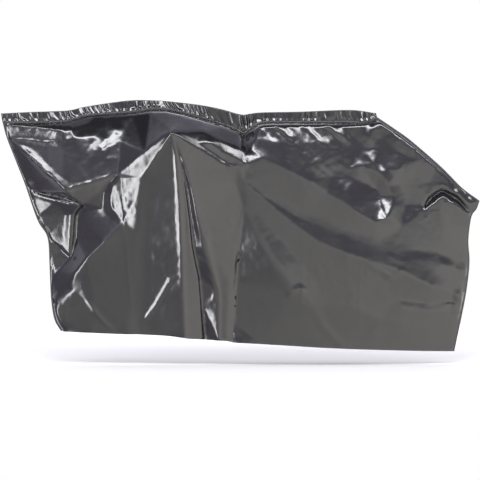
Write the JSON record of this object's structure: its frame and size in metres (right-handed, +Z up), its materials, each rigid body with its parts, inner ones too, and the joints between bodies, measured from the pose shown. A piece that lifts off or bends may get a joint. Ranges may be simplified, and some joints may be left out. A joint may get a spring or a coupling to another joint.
{
  "type": "bicycle cover",
  "caption": "Draped dark grey film bag for a bicycle, hollow and open below, with folded side panels and a gathered heading band along its top.",
  "frame": {"origin": "under the top of the cover at mid length, in the middle plane, where it rests on the bicycle", "axes": "+Z up, +X along the bicycle towards its rear, -Y towards the side panel that faces the camera"},
  "size_m": [2.1006, 0.4772, 1.102],
  "materials": {
    "film": "thin dark grey polyethylene film, glossy, with sharp creases",
    "heading": "the same film, gathered and welded"
  },
  "bodies": {
    "root": {"side_near": "film", "side_far": "film", "heading_band": "heading"}
  },
  "joints": []
}
